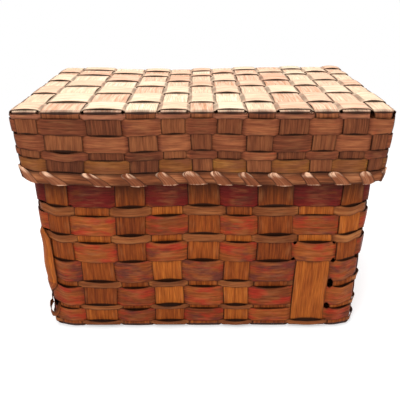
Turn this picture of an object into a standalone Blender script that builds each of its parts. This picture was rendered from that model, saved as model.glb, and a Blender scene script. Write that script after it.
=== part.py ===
"""A lidded storage basket of plain-woven wood splints. Every splint, hoop and lashing is its own piece."""

import math
from collections import namedtuple

import bmesh
import bpy

# The lid, measured outside its weave
LID_WIDTH = 0.420
LID_DEPTH = 0.272
LID_SIDE_HEIGHT = 0.0870
LID_CORNER = 0.0063
# Each wall stands this much further in at the mouth than at the top
MOUTH_INSET = 0.0024
LID_BEND = 0.003

# The body, which stands inside the lid
BODY_HEIGHT = 0.288
BODY_CORNER = 0.0053
BODY_BEND = 0.004
# Each wall stands this much further in at the base than at the rim
BASE_INSET = 0.0037
# Room all round between the lid's rim and the body's rim as the lid lifts off
LID_CLEARANCE = 0.0015

# The splints
UPRIGHT_THICKNESS = 0.0010
WEAVER_THICKNESS = 0.0008
CONTACT_GAP = 0.0003
LID_UPRIGHT_GAP = 0.0060
BODY_UPRIGHT_GAP = 0.0070
ROW_GAP = 0.0009
# A splint stays level this far past the edge of the one that it crosses
EASE = 0.0003

# The rims: a hoop on each face of the wall, bound by a lashing that passes between the uprights
HOOP_THICKNESS = 0.0015
HOOP_HEIGHT = 0.0128
LASHING_THICKNESS = 0.0006
# The uprights stop this far short of the hoops' free edge
UPRIGHT_SETBACK = 0.0010

# Widths of the splints, from left to right or from front to back, as shares of each other
LID_FRONT_SHARES = (19.3, 40.5, 38, 31.5, 25.5, 23, 26, 28, 30.5, 24.5, 27, 14.3)
LID_CROSS_SHARES = (23.3, 40, 36, 29, 36, 11, 17, 11.3)
BODY_FRONT_SHARES = (29, 39, 33, 35, 36, 30, 40, 40, 24)
BODY_CROSS_SHARES = (28, 34, 30, 33, 31, 28)
# Heights of the weavers: the body's from the base up, the lid's from its rim up
BODY_ROW_SHARES = (5, 18, 5, 26.5, 7.7, 28, 25.4, 9, 24.5, 10.7, 28.5, 24.5, 11.4, 31)
LID_ROW_SHARES = (14.4, 8.4, 17.9, 17.8, 4.4)
# The lashing, as shares of the way from one hole to the next and of the hole's width
LASHING_OUTER_SHARE = 0.30
LASHING_INNER_SHARE = 0.38
LASHING_WIDTH_SHARE = 0.42
LASHING_FOLD_SHARE = 0.65
LASHING_HOLE_SHARE = 0.6

# Colour and roughness of each kind of piece
Finish = namedtuple("Finish", "colour roughness")
BODY_FINISHES = {
    "upright": Finish((0.46, 0.17, 0.05), 0.7),
    "hoop": Finish((0.42, 0.20, 0.09), 0.7),
    "lashing": Finish((0.48, 0.24, 0.12), 0.65),
}
BODY_WEAVER_FINISHES = (
    Finish((0.42, 0.12, 0.06), 0.6),
    Finish((0.34, 0.07, 0.07), 0.6),
    Finish((0.40, 0.19, 0.08), 0.6),
)
LID_FINISHES = {
    "upright": Finish((0.60, 0.42, 0.26), 0.7),
    "hoop": Finish((0.40, 0.19, 0.09), 0.7),
    "lashing": Finish((0.50, 0.26, 0.13), 0.65),
}
LID_WEAVER_FINISHES = (Finish((0.24, 0.08, 0.035), 0.6), Finish((0.30, 0.10, 0.04), 0.6))

# Two narrow weavers have lost the length between these two front uprights
BROKEN_ROWS = (3, 5)
BREAK_AFTER = 8

# Offsets from the wall's middle line
WEAVE_OFFSET = (UPRIGHT_THICKNESS + WEAVER_THICKNESS) / 2 + CONTACT_GAP
CROSS_OFFSET = UPRIGHT_THICKNESS + CONTACT_GAP
HOOP_OFFSET = (UPRIGHT_THICKNESS + HOOP_THICKNESS) / 2 + CONTACT_GAP
LASHING_OFFSET = HOOP_OFFSET + (HOOP_THICKNESS + LASHING_THICKNESS) / 2 + CONTACT_GAP
RIM_REACH = LASHING_OFFSET + LASHING_THICKNESS / 2
RIM_HEIGHT = HOOP_HEIGHT + 2 * (CONTACT_GAP + LASHING_THICKNESS)
SHEET_REACH = CROSS_OFFSET + UPRIGHT_THICKNESS / 2

# Middle line of each wall, and the level of the base sheet and the top sheet
LID_HALF_WIDTH = LID_WIDTH / 2 - WEAVE_OFFSET - WEAVER_THICKNESS / 2
LID_HALF_DEPTH = LID_DEPTH / 2 - WEAVE_OFFSET - WEAVER_THICKNESS / 2
RIM_TO_RIM = 2 * RIM_REACH + LID_CLEARANCE
BASE_LEVEL = SHEET_REACH
TOP_LEVEL = BODY_HEIGHT + CONTACT_GAP + SHEET_REACH
LID_FOOT = TOP_LEVEL + SHEET_REACH - LID_SIDE_HEIGHT

# One woven box: its wall line at height `level`, how much it leans out per metre of height, the sheet
# that closes it, the way its wall runs from that sheet (1 up, -1 down), and where its rim ends
Box = namedtuple("Box", "half_width half_depth level lean corner bend sheet way rim_end upright_gap")
BODY = Box(
    LID_HALF_WIDTH - MOUTH_INSET - RIM_TO_RIM,
    LID_HALF_DEPTH - MOUTH_INSET - RIM_TO_RIM,
    BODY_HEIGHT,
    BASE_INSET / BODY_HEIGHT,
    BODY_CORNER,
    BODY_BEND,
    BASE_LEVEL,
    1,
    BODY_HEIGHT,
    BODY_UPRIGHT_GAP,
)
LID = Box(
    LID_HALF_WIDTH,
    LID_HALF_DEPTH,
    TOP_LEVEL,
    MOUTH_INSET / (TOP_LEVEL - LID_FOOT),
    LID_CORNER,
    LID_BEND,
    TOP_LEVEL,
    -1,
    LID_FOOT,
    LID_UPRIGHT_GAP,
)

# A place on the wall: along one side, or at an angle round the corner that ends it
Mark = namedtuple("Mark", "side along angle offset")
# A place where the lashing passes through the wall, with the room up to the next one
Hole = namedtuple("Hole", "side along run follows_corner")
# The walk round a box: front, right, back, left, each with its direction and its outward normal
SIDES = (((1, 0), (0, -1)), ((0, 1), (1, 0)), ((-1, 0), (0, 1)), ((0, -1), (-1, 0)))
STRAP_BEND_STEPS = 2
HOOP_CORNER_STEPS = 3
WEAVER_CORNER_ANGLES = (math.pi / 8, 3 * math.pi / 8)


def clear_scene():
    """Remove everything that the file opened with."""
    for item in list(bpy.data.objects):
        bpy.data.objects.remove(item, do_unlink=True)


def splint_material(name, finish):
    """A plain wood finish for one piece."""
    material = bpy.data.materials.new(name)
    material.use_nodes = True
    shader = material.node_tree.nodes["Principled BSDF"]
    shader.inputs["Base Color"].default_value = (*finish.colour, 1)
    shader.inputs["Roughness"].default_value = finish.roughness
    shader.inputs["Metallic"].default_value = 0
    return material


def loft(name, sections, closed, finish):
    """One closed body through four-cornered sections, either joined end to end or capped."""
    mesh = bmesh.new()
    rings = [[mesh.verts.new(point) for point in section] for section in sections]
    pairs = list(zip(rings, rings[1:]))
    if closed:
        pairs.append((rings[-1], rings[0]))
    else:
        mesh.faces.new(rings[0])
        mesh.faces.new(rings[-1])
    for here, there in pairs:
        for corner in range(4):
            after = (corner + 1) % 4
            mesh.faces.new((here[corner], there[corner], there[after], here[after]))
    bmesh.ops.recalc_face_normals(mesh, faces=mesh.faces)
    data = bpy.data.meshes.new(name)
    mesh.to_mesh(data)
    mesh.free()
    piece = bpy.data.objects.new(name, data)
    piece.data.materials.append(splint_material(name, finish))
    bpy.context.scene.collection.objects.link(piece)


def half_sizes(box, z):
    """Half the width and half the depth of the wall's middle line at height z."""
    grow = box.lean * (z - box.level)
    return box.half_width + grow, box.half_depth + grow


def spot(box, mark, z):
    """The point of a mark on the wall at height z."""
    (along_x, along_y), (out_x, out_y) = SIDES[mark.side]
    half_width, half_depth = half_sizes(box, z)
    length, reach = (half_width, half_depth) if mark.side % 2 == 0 else (half_depth, half_width)
    if mark.angle is None:
        along, out = mark.along, reach + mark.offset
    else:
        radius = box.corner + mark.offset
        along = length - box.corner + radius * math.sin(mark.angle)
        out = reach - box.corner + radius * math.cos(mark.angle)
    return along_x * along + out_x * out, along_y * along + out_y * out, z


def band(box, marks, low, high, thickness):
    """Sections of a flat band that follows the marks round the wall, between two heights."""
    sections = []
    for mark in marks:
        inner = mark._replace(offset=mark.offset - thickness / 2)
        outer = mark._replace(offset=mark.offset + thickness / 2)
        corners = ((inner, low), (outer, low), (outer, high), (inner, high))
        sections.append([spot(box, place, z) for place, z in corners])
    return sections


def straight_half(box, across):
    """Half the straight length of a wall, at its lower end, where both boxes are smallest."""
    half_width, half_depth = half_sizes(box, min(box.sheet, box.rim_end))
    return (half_width if across == "front" else half_depth) - box.corner


def side_by_side(box, across, shares):
    """The two edges of each upright along one wall, filling its straight length."""
    half = straight_half(box, across) - box.upright_gap / 2
    unit = (2 * half - (len(shares) - 1) * box.upright_gap) / sum(shares)
    edges = []
    start = -half
    for share in shares:
        edges.append((start, start + share * unit))
        start += share * unit + box.upright_gap
    return edges


def round_the_wall(fronts, crosses):
    """Every upright in the order that a weaver meets it: front, right, back, left."""
    walk = [(0, start, end) for start, end in fronts]
    walk += [(1, start, end) for start, end in crosses]
    walk += [(2, -end, -start) for start, end in reversed(fronts)]
    walk += [(3, -end, -start) for start, end in reversed(crosses)]
    return walk


def weaver_marks(walk, over_odd, broken):
    """A weaver's path: level over or behind each upright, slanting between them, round the corners."""
    marks = []
    count = len(walk)
    order = list(range(BREAK_AFTER, count)) + list(range(BREAK_AFTER)) if broken else range(count)
    for place, index in enumerate(order):
        side, start, end = walk[index]
        number = index + 1
        outside = (number % 2 == 1) == over_odd
        if broken and number == BREAK_AFTER:
            outside = False
        offset = WEAVE_OFFSET if outside else -WEAVE_OFFSET
        middle = (start + end) / 2
        first = middle if broken and place == 0 else start - EASE
        last = middle if broken and place == count - 1 else end + EASE
        if marks and side != marks[-1].side:
            marks += corner_marks(marks[-1].side, marks[-1].offset, offset)
        marks.append(Mark(side, first, None, offset))
        marks.append(Mark(side, last, None, offset))
    if not broken:
        marks += corner_marks(marks[-1].side, marks[-1].offset, marks[0].offset)
    return marks


def corner_marks(side, before, after):
    """The marks round the corner that ends a side, with the offset passing from one to the other."""
    marks = []
    for angle in WEAVER_CORNER_ANGLES:
        share = angle / (math.pi / 2)
        marks.append(Mark(side, 0, angle, before + (after - before) * share))
    return marks


def hoop_marks(offset):
    """A hoop's path: straight along each side and round each corner."""
    marks = []
    for side in range(4):
        for step in range(HOOP_CORNER_STEPS + 1):
            marks.append(Mark(side, 0, step * math.pi / 2 / HOOP_CORNER_STEPS, offset))
    return marks


def row_heights(low, high, shares):
    """The bottom and top of each row of weaving, from low to high."""
    unit = (high - low - (len(shares) - 1) * ROW_GAP) / sum(shares)
    rows = []
    start = low
    for share in shares:
        rows.append((start, start + share * unit))
        start += share * unit + ROW_GAP
    return rows


def mitred(path, distance):
    """The path moved sideways by a distance, with its corners mitred."""
    normals = []
    for (x0, z0), (x1, z1) in zip(path, path[1:]):
        length = math.hypot(x1 - x0, z1 - z0)
        normals.append(((z0 - z1) / length, (x1 - x0) / length))
    moved = []
    for index, (x, z) in enumerate(path):
        ax, az = normals[max(index - 1, 0)]
        bx, bz = normals[min(index, len(normals) - 1)]
        scale = distance / (1 + ax * bx + az * bz)
        moved.append((x + (ax + bx) * scale, z + (az + bz) * scale))
    return moved


def strap_path(box, across, waves):
    """Down one wall, round the bend, along the sheet and up the other wall, in the strap's own plane.

    `across` names the walls that the strap climbs, and `waves` are the points along the sheet.
    """
    end = box.rim_end - box.way * (LASHING_THICKNESS + CONTACT_GAP + UPRIGHT_SETBACK)
    turn = box.sheet + box.way * box.bend
    pick = 1 if across == "front" else 0
    wall = [(half_sizes(box, end)[pick], end), (half_sizes(box, turn)[pick], turn)]
    centre = wall[1][0] - box.bend
    for step in range(1, STRAP_BEND_STEPS + 1):
        angle = step * math.pi / 2 / STRAP_BEND_STEPS
        drop = box.way * box.bend * math.sin(angle)
        wall.append((centre + box.bend * math.cos(angle), turn - drop))
    left = [(-reach, z) for reach, z in wall]
    return left + waves + list(reversed(wall))


def strap(name, path, start, end, across, finish):
    """One upright, bent from a flat strap that runs between two edges."""
    inner = mitred(path, UPRIGHT_THICKNESS / 2)
    outer = mitred(path, -UPRIGHT_THICKNESS / 2)
    sections = []
    for (a, low), (b, high) in zip(inner, outer):
        corners = ((start, a, low), (start, b, high), (end, b, high), (end, a, low))
        if across == "front":
            sections.append([(side, reach, z) for side, reach, z in corners])
        else:
            sections.append([(reach, side, z) for side, reach, z in corners])
    loft(name, sections, False, finish)


def sheet_waves(box, fronts, number):
    """The points of a cross splint along the sheet, over and under the splints that it crosses."""
    waves = []
    for index, (start, end) in enumerate(fronts):
        outside = (index + 1 + number) % 2 == 0
        level = box.sheet + (-box.way if outside else box.way) * CROSS_OFFSET
        waves += [(start - EASE, level), (end + EASE, level)]
    return waves


def rim_levels(box):
    """Heights of the hoops' woven edge and free edge, and of the lashing's middle beyond each."""
    free_edge = box.rim_end - box.way * (LASHING_THICKNESS + CONTACT_GAP)
    woven_edge = free_edge - box.way * HOOP_HEIGHT
    beyond = CONTACT_GAP + LASHING_THICKNESS / 2
    return woven_edge, free_edge, woven_edge - box.way * beyond, free_edge + box.way * beyond


def lashing_holes(box, walk):
    """Where the lashing passes through the wall: in the gap before each upright of the walk."""
    holes = []
    for index, (side, start, end) in enumerate(walk):
        follows_corner = walk[index - 1][0] != side
        along = start - box.upright_gap / 2
        holes.append(Hole(side, along, end - start + box.upright_gap, follows_corner))
    return holes


def lashing_sections(box, walk):
    """The lashing's sections: through a hole, slanting down the outside, back under and up the inside."""
    holes = lashing_holes(box, walk)
    hole_width = LASHING_HOLE_SHARE * box.upright_gap
    through = UPRIGHT_THICKNESS / 2 + CONTACT_GAP
    _, _, woven, free = rim_levels(box)
    half = LASHING_THICKNESS / 2
    toward = -box.way * half
    sections = []
    for index, (side, along, run, follows_corner) in enumerate(holes):
        following = holes[(index + 1) % len(holes)]
        width = LASHING_WIDTH_SHARE * run
        fold = hole_width if follows_corner else LASHING_FOLD_SHARE * width
        next_fold = hole_width if following.follows_corner else LASHING_FOLD_SHARE * width
        down = along + LASHING_OUTER_SHARE * run
        back = along + LASHING_INNER_SHARE * run
        stations = (
            (side, along, -through, woven, 0, toward, hole_width),
            (side, along, through, woven, 0, toward, hole_width),
            (side, along, LASHING_OFFSET, woven, half, toward, fold),
            (side, down, LASHING_OFFSET, free, half, -toward, width),
            (side, back, -LASHING_OFFSET, free, -half, -toward, width),
            (following.side, following.along, -LASHING_OFFSET, woven, -half, toward, next_fold),
        )
        sections += [lashing_section(box, *station) for station in stations]
    return sections


def lashing_section(box, side, along, offset, z, out, up, width):
    """Four corners of the lashing: both edges of its outer face, then of its inner face."""
    corners = []
    for edge, face in ((-1, 1), (1, 1), (1, -1), (-1, -1)):
        mark = Mark(side, along + edge * width / 2, None, offset + face * out)
        corners.append(spot(box, mark, z + face * up))
    return corners


def make_rim(prefix, box, walk, finishes):
    """The two hoops and the lashing that bind the ends of the uprights."""
    woven, free, _, _ = rim_levels(box)
    low, high = sorted((woven, free))
    for name, offset in (("outer", HOOP_OFFSET), ("inner", -HOOP_OFFSET)):
        sections = band(box, hoop_marks(offset), low, high, HOOP_THICKNESS)
        loft(f"{prefix}_rim_{name}_hoop", sections, True, finishes["hoop"])
    loft(f"{prefix}_rim_lashing", lashing_sections(box, walk), True, finishes["lashing"])


def make_uprights(prefix, box, fronts, crosses, finish):
    """The straps that run from front to back and from side to side."""
    for index, (start, end) in enumerate(fronts):
        path = strap_path(box, "front", [])
        name = f"{prefix}_front_splint_{index + 1:02d}"
        strap(name, path, start, end, "front", finish)
    for index, (start, end) in enumerate(crosses):
        path = strap_path(box, "side", sheet_waves(box, fronts, index + 1))
        name = f"{prefix}_cross_splint_{index + 1:02d}"
        strap(name, path, start, end, "side", finish)


def make_weavers(prefix, box, walk, rows, first_over_odd, broken_rows, finishes):
    """The horizontal splints, each row passing over the uprights that the last one passed behind."""
    for index, (low, high) in enumerate(rows):
        over_odd = first_over_odd == (index % 2 == 0)
        broken = index + 1 in broken_rows
        sections = band(box, weaver_marks(walk, over_odd, broken), low, high, WEAVER_THICKNESS)
        name = f"{prefix}_weaver_{index + 1:02d}"
        loft(name, sections, not broken, finishes[index % len(finishes)])


def make_body():
    """The open box that stands on its woven base."""
    fronts = side_by_side(BODY, "front", BODY_FRONT_SHARES)
    crosses = side_by_side(BODY, "side", BODY_CROSS_SHARES)
    walk = round_the_wall(fronts, crosses)
    low = BODY.sheet + BODY.bend + CONTACT_GAP
    high = BODY.rim_end - RIM_HEIGHT - CONTACT_GAP
    rows = row_heights(low, high, BODY_ROW_SHARES)
    make_uprights("body", BODY, fronts, crosses, BODY_FINISHES["upright"])
    make_weavers("body", BODY, walk, rows, False, BROKEN_ROWS, BODY_WEAVER_FINISHES)
    make_rim("body", BODY, walk, BODY_FINISHES)


def make_lid():
    """The tall lid that drops over the body and rests on its rim."""
    fronts = side_by_side(LID, "front", LID_FRONT_SHARES)
    crosses = side_by_side(LID, "side", LID_CROSS_SHARES)
    walk = round_the_wall(fronts, crosses)
    low = LID.rim_end + RIM_HEIGHT + CONTACT_GAP
    high = LID.sheet - LID.bend - CONTACT_GAP
    rows = row_heights(low, high, LID_ROW_SHARES)
    make_uprights("lid", LID, fronts, crosses, LID_FINISHES["upright"])
    make_weavers("lid", LID, walk, rows, True, (), LID_WEAVER_FINISHES)
    make_rim("lid", LID, walk, LID_FINISHES)


clear_scene()
make_body()
make_lid()
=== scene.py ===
# %% [markdown]
# # A lidded basket of woven wood splints
# A splint is a thin, flat strip of wood, split along the grain, so it bends round a corner without
# breaking. Uprights run up the walls and across the base or the top; weavers go round the walls, over
# one upright and behind the next. Each of the 60 strips here is cut flat, to its real length, and then
# bent onto its path, which is how the real ones are worked and keeps the grain straight in each of them.

import random
from collections import namedtuple
from math import atan, ceil, copysign, cos, degrees, exp, hypot, pi, radians, sin, sqrt
from types import SimpleNamespace

import bpy
from mathutils import Matrix, Vector


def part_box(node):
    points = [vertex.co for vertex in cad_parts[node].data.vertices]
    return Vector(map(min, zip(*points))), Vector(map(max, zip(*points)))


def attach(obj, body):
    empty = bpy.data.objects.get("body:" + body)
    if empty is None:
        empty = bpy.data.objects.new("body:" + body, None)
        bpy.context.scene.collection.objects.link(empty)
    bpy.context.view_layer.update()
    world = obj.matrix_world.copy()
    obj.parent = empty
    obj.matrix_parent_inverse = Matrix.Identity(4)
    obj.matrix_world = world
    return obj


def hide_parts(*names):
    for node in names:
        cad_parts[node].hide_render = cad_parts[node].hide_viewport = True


MILLIMETRE = 0.001
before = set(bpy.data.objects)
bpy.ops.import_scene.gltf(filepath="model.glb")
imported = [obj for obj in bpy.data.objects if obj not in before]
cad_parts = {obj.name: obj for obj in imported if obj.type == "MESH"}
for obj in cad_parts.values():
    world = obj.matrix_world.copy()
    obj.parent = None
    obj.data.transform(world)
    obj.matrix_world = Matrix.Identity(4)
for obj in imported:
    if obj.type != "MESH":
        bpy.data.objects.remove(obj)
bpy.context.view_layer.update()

# %% [markdown]
# ## The sizes of a splint
# The frame holds each strip's place and width. Its thickness, and the room between two strips that
# touch, are the weaver's own choice, and a strip that passes over another stands half of both
# thicknesses and that room away from the middle of the wall.

# %% Splint sizes, in metres
UPRIGHT_THICKNESS = 0.0010
WEAVER_THICKNESS = 0.0008
CONTACT_GAP = 0.0003
OVER = (UPRIGHT_THICKNESS + WEAVER_THICKNESS) / 2 + CONTACT_GAP
SHEET_OVER = UPRIGHT_THICKNESS + CONTACT_GAP
print(f"a weaver runs {OVER / MILLIMETRE:.1f} mm to either side of the wall's middle line")


# %% [markdown]
# ## Reading the two boxes
# The body and the lid are the same thing at two sizes: a woven sheet with walls. One record for each
# holds the edges of its uprights, the heights of its rows and the line of its walls, which lean out a
# little on the body. A round corner starts where the last upright ends.

# %% Read a box from the frame
BULGE_ROOM = 0.0003
# How far the uprights beside a corner reach round it, what is missing of the first front one there, and
# how far the walls stand inside the frame's.
CORNER_REACH = {"body": 0.0035, "lid": 0.0045}
FIRST_FRONT_TRIM = {"body": 0.0050, "lid": 0}
WALL_TRIM = {"body": 0, "lid": 0.0017}


def spans_of(start, axis):
    """Where the frame's nodes whose names begin alike start and end along an axis, in order."""
    names = sorted(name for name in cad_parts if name.startswith(start))
    return [(low[axis], high[axis]) for low, high in map(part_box, names)]


def read_box(prefix, way):
    """What the strips of one box need to know. `way` is 1 where walls rise from the sheet, else -1."""
    fronts = spans_of(f"{prefix}_front_splint", 0)
    crosses = spans_of(f"{prefix}_cross_splint", 1)
    rows = spans_of(f"{prefix}_weaver", 2)
    for spans in (fronts, crosses):
        spans[0] = (spans[0][0] - CORNER_REACH[prefix], spans[0][1])
        spans[-1] = (spans[-1][0], spans[-1][1] + CORNER_REACH[prefix])
    fronts[0] = (fronts[0][0] + FIRST_FRONT_TRIM[prefix], fronts[0][1])
    first, last = (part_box(f"{prefix}_weaver_{number:02d}")[1] for number in (1, len(rows)))
    sheet, strap_end = spans_of(f"{prefix}_front_splint_01", 2)[0][::way]
    trim = WALL_TRIM[prefix]
    reach = OVER + WEAVER_THICKNESS / 2 + BULGE_ROOM
    return SimpleNamespace(
        prefix=prefix, way=way, fronts=fronts, crosses=crosses, rows=rows,
        lean=(last.x - trim - first.x) / (last.z - first.z),
        level=last.z,
        half_width=last.x - reach - trim,
        half_depth=last.y - reach - trim,
        last_edge=fronts[-1][1],
        sheet=sheet + way * UPRIGHT_THICKNESS / 2,
        strap_end=strap_end,
        hoop=spans_of(f"{prefix}_rim_outer_hoop", 2)[0],
    )


BODY = read_box("body", 1)
LID = read_box("lid", -1)
for each in (BODY, LID):
    print(f"{each.prefix}: {len(each.fronts)} by {len(each.crosses)} uprights, {len(each.rows)} rows,"
          f" lean {degrees(atan(each.lean)):.2f} degrees")


# %% [markdown]
# ## Walking round the wall
# A weaver meets the uprights in one order: along the front, up the right side, along the back and down
# the left side. The walk numbers them so, and `wall_place` turns a distance along that walk into a
# point on the wall and the direction that faces out of it.

# %% The walk round a box
# The direction along each wall in turn, and the one out of it.
SIDES = [(Vector((x, y, 0)), Vector((y, -x, 0))) for x, y in ((1, 0), (0, 1), (-1, 0), (0, -1))]


def half_sizes(box, z):
    """Half the width and half the depth of the wall's middle line at height z."""
    grow = box.lean * (z - box.level)
    return box.half_width + grow, box.half_depth + grow


def wall_lengths(box, z):
    """The straight lengths of the four walls, and the corners' radius, at height z."""
    half_width, half_depth = half_sizes(box, z)
    radius = half_width - box.last_edge
    return (2 * (half_width - radius), 2 * (half_depth - radius)) * 2, radius


def wall_place(box, z, distance):
    """The point on the wall's middle line at a distance round it, and the direction out of it."""
    centre = Vector((0, 0, z))
    lengths, radius = wall_lengths(box, z)
    arc = radius * pi / 2
    distance %= sum(lengths) + 4 * arc
    for (along, out), length, reach in zip(SIDES, lengths, half_sizes(box, z)[::-1] * 2):
        if distance <= length:
            return centre + along * (distance - length / 2) + out * reach, out
        distance -= length
        if distance <= arc:
            facing = along * sin(distance / radius) + out * cos(distance / radius)
            return centre + along * length / 2 + out * (reach - radius) + facing * radius, facing
        distance -= arc
    return centre + along * length / 2 + out * reach, out


def walk_round(box, z):
    """Every upright's start and end along the walk, and the length of the whole walk."""
    lengths, radius = wall_lengths(box, z)
    walls = [box.fronts, box.crosses]
    walls += [[(-b, -a) for a, b in reversed(wall)] for wall in walls]
    spans, start = [], 0
    for length, wall in zip(lengths, walls):
        spans += [(start + length / 2 + a, start + length / 2 + b) for a, b in wall]
        start += length + radius * pi / 2
    return spans, start


print(f"once round the lid: {walk_round(LID, LID.level)[1]:.3f} m")

# %% [markdown]
# ## Out of true
# Long use has pulled both boxes out of true. Corners have rounded, rows wander, the body bellies out, and
# the lid's top sags, its mouth has drawn in, its lower corners ride up and its left end curls. One gentle
# field moves every point of a box, so strips that cross move together and none touches another.

# %% How a point of a true box has settled
ROUNDING, ROUNDED_LENGTH = 0.0042, 0.030
UPRIGHT_SWAY, ROW_WANDER = 0.0011, 0.0008
# Radians per metre of the slow waves: up and along a front and a side, and then of the rows.
SWAY_WAVES = ((43, 19), (37, 29))
WANDER_WAVES, WANDER_START = (23, 31, 41), 1.3
FIXED_SHARE = 0.2
SAG, SAG_PLACE, SAG_SPREAD = 0.0035, Vector((-0.05, 0.11)), 0.095
SHEET_DROP = {"body": -0.0008, "lid": 0.0018}
BELLY, BELLY_TOP = 0.0013, 0.7
CORNER_LIFT, CORNER_PINCH, RIM_DROP = 0.0050, 0.14, 0.0029
MOUTH_RISE, LEFT_CURL, MOUTH_DRAW = 0.0035, 0.0050, 0.0009


def ease(share):
    """From 0 to 1, level at both ends."""
    share = max(0, min(1, share))
    return share * share * (3 - 2 * share)


def corner_share(box, x, y, z):
    """1 at a corner of the box, falling to 0 away from it."""
    half_width, half_depth = half_sizes(box, z)
    return (ease(1 - (half_width - abs(x)) / ROUNDED_LENGTH)
            * ease(1 - (half_depth - abs(y)) / ROUNDED_LENGTH))


def settled(box, point):
    """Where a point of the true box stands now. A high power of a share is felt only near its end."""
    x, y, z = point
    share = max(0, min(1, (z - box.sheet) / (box.strap_end - box.sheet)))
    near = [min(1, abs(value) / half) for value, half in zip((x, y), half_sizes(box, z))]
    corner = corner_share(box, x, y, z)
    hang = min(1, share / FIXED_SHARE)
    if box is BODY:
        inward, draw = ROUNDING * corner, 0
        belly = BELLY * sin(pi * min(1, share / BELLY_TOP))
        rise = CORNER_LIFT * corner * hang * (1 - share ** 3) - RIM_DROP * share ** 4
        top = share
    else:
        inward, draw = ROUNDING * corner * share, MOUTH_DRAW * share ** 8
        belly = 0
        rise = share * (MOUTH_RISE * near[0] ** 6 + (LEFT_CURL * near[0] ** 22 if x < 0 else 0))
        top = 1 - share
    moved = Vector(point)
    for axis, (up, along) in enumerate(SWAY_WAVES):
        here, other = near[axis], near[1 - axis]
        sway = sin(z * up + point[axis] * along + box.way) * (1 - here ** 6) * hang
        outward = (belly * (1 - other ** 4) - draw) * here ** 8 - inward
        moved[axis] += UPRIGHT_SWAY * sway + copysign(1, point[axis]) * outward
    first, second, third = WANDER_WAVES
    wander = sin(x * first + WANDER_START) + sin(y * second + x * third)
    sag = SAG * exp(-((Vector((x, y)) - SAG_PLACE).length / SAG_SPREAD) ** 2)
    moved.z += ROW_WANDER * wander * hang + rise - sag * top ** 2 - SHEET_DROP[box.prefix] * (1 - share) ** 4
    return moved


foot = Vector((0.2, -0.13, 0.21))
print(f"the lid's front right foot has moved {(settled(LID, foot) - foot) / MILLIMETRE} mm")

# %% [markdown]
# ## Over and behind
# Seen from its edge, a strip is a slow wave: it stands off by a strip's thickness where it crosses
# another, and swaps sides in the gap between. A crossing is written as its start, its end, how far off
# the strip stands there, its bulge in the middle, its side, how light the wood is there and how far the
# strip has rolled. `wave` fills in the rest of the points.

# %% The wave of a woven strip
Crossing = namedtuple("Crossing", "low high level bulge side tone roll")
Stop = namedtuple("Stop", "distance offset lift tone roll")
FLOAT_POINTS, FLOAT_STEP, GAP_STEP = 8, 0.004, 0.0016


def wave(crossings, start, end, enter=0, leave=0):
    """Stops from start to end over the crossings in between.

    Lift is 1 on top of a crossing and -1 underneath. It starts at `enter` and ends at `leave`, which are
    under 0 where a painted shadow darkens the strip there, as it dives under another.
    """
    stops = []
    at, offset, tone = start, crossings[0].level, crossings[0].tone
    for low, high, level, bulge, side, next_tone, roll in crossings:
        steps = ceil((low - at) / GAP_STEP)
        for step in range(steps):
            share = step / steps
            swing = ease(share)
            stops.append(Stop(at + (low - at) * share, offset + (level - offset) * swing,
                              min(enter, leave) if step else leave, tone + (next_tone - tone) * swing, 0))
        steps = max(FLOAT_POINTS, round((high - low) / FLOAT_STEP))
        for step in range(steps):
            share = step / steps
            rise = sin(pi * share)
            lift = (sqrt(rise) if step else enter) if side > 0 else -1
            stops.append(Stop(low + (high - low) * share, level + bulge * rise, lift, next_tone, roll * rise))
        at, offset, tone = high, level, next_tone
    steps = max(1, ceil((end - at) / GAP_STEP))
    for step in range(steps + 1):
        stops.append(Stop(at + (end - at) * step / steps, offset, 0, tone, 0))
    return stops


# %% [markdown]
# ## One strip, cut flat and bent
# A grid with a column for each point of the wave is stretched to the strip's length and width and stood
# on its long edge, so that no bend falls between two columns. It is given a slight crown, a thickness and
# rounded edges while it is flat, and a Curve modifier bends it last. The grain's coordinates are laid on
# the flat strip in metres, so they follow every bend.

# %% Helpers for the bench
def select_only(piece):
    """Leave one object selected, so that an operator touches nothing else."""
    bpy.ops.object.select_all(action="DESELECT")
    piece.select_set(True)
    bpy.context.view_layer.objects.active = piece


def shape_with(piece, kind, **settings):
    """Add a modifier, set it and apply it."""
    select_only(piece)
    bpy.ops.object.modifier_add(type=kind)
    modifier = piece.modifiers[-1]
    for name, value in settings.items():
        setattr(modifier, name, value)
    bpy.ops.object.modifier_apply(modifier=modifier.name)


def bend_along(piece, points, tilts, smooth_angle):
    """Bend a flat piece, which lies along X, onto a curve through points that have a tilt each."""
    data = bpy.data.curves.new("bending_path", "CURVE")
    data.dimensions = "3D"
    data.twist_mode = "Z_UP"
    line = data.splines.new("POLY")
    line.points.add(len(points) - 1)
    for spot, point, tilt in zip(line.points, points, tilts):
        spot.co = (*point, 1)
        spot.tilt = tilt
    path = bpy.data.objects.new("bending_path", data)
    bpy.context.scene.collection.objects.link(path)
    shape_with(piece, "CURVE", object=path, deform_axis="POS_X")
    bpy.data.objects.remove(path)
    bpy.ops.object.shade_smooth_by_angle(angle=radians(smooth_angle))


def attributes_on(mesh, *names):
    """New values on every point of a mesh, found by name once all of them are there."""
    for name in names:
        mesh.attributes.new(name, "FLOAT", "POINT")
    return [mesh.attributes[name].data for name in names]


LOG_LENGTH, LOG_WIDTH = 9, 5


def lay_grain(mesh, seed, flat_place):
    """Name the coordinates of the grain and lay them, in metres, each piece on its own part of the log."""
    grain = mesh.uv_layers[0]
    grain.name = "grain"
    for loop in mesh.loops:
        along, across = flat_place(mesh.vertices[loop.vertex_index].co)
        grain.data[loop.index].uv = (along + seed * LOG_LENGTH, across + seed * LOG_WIDTH)


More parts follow.
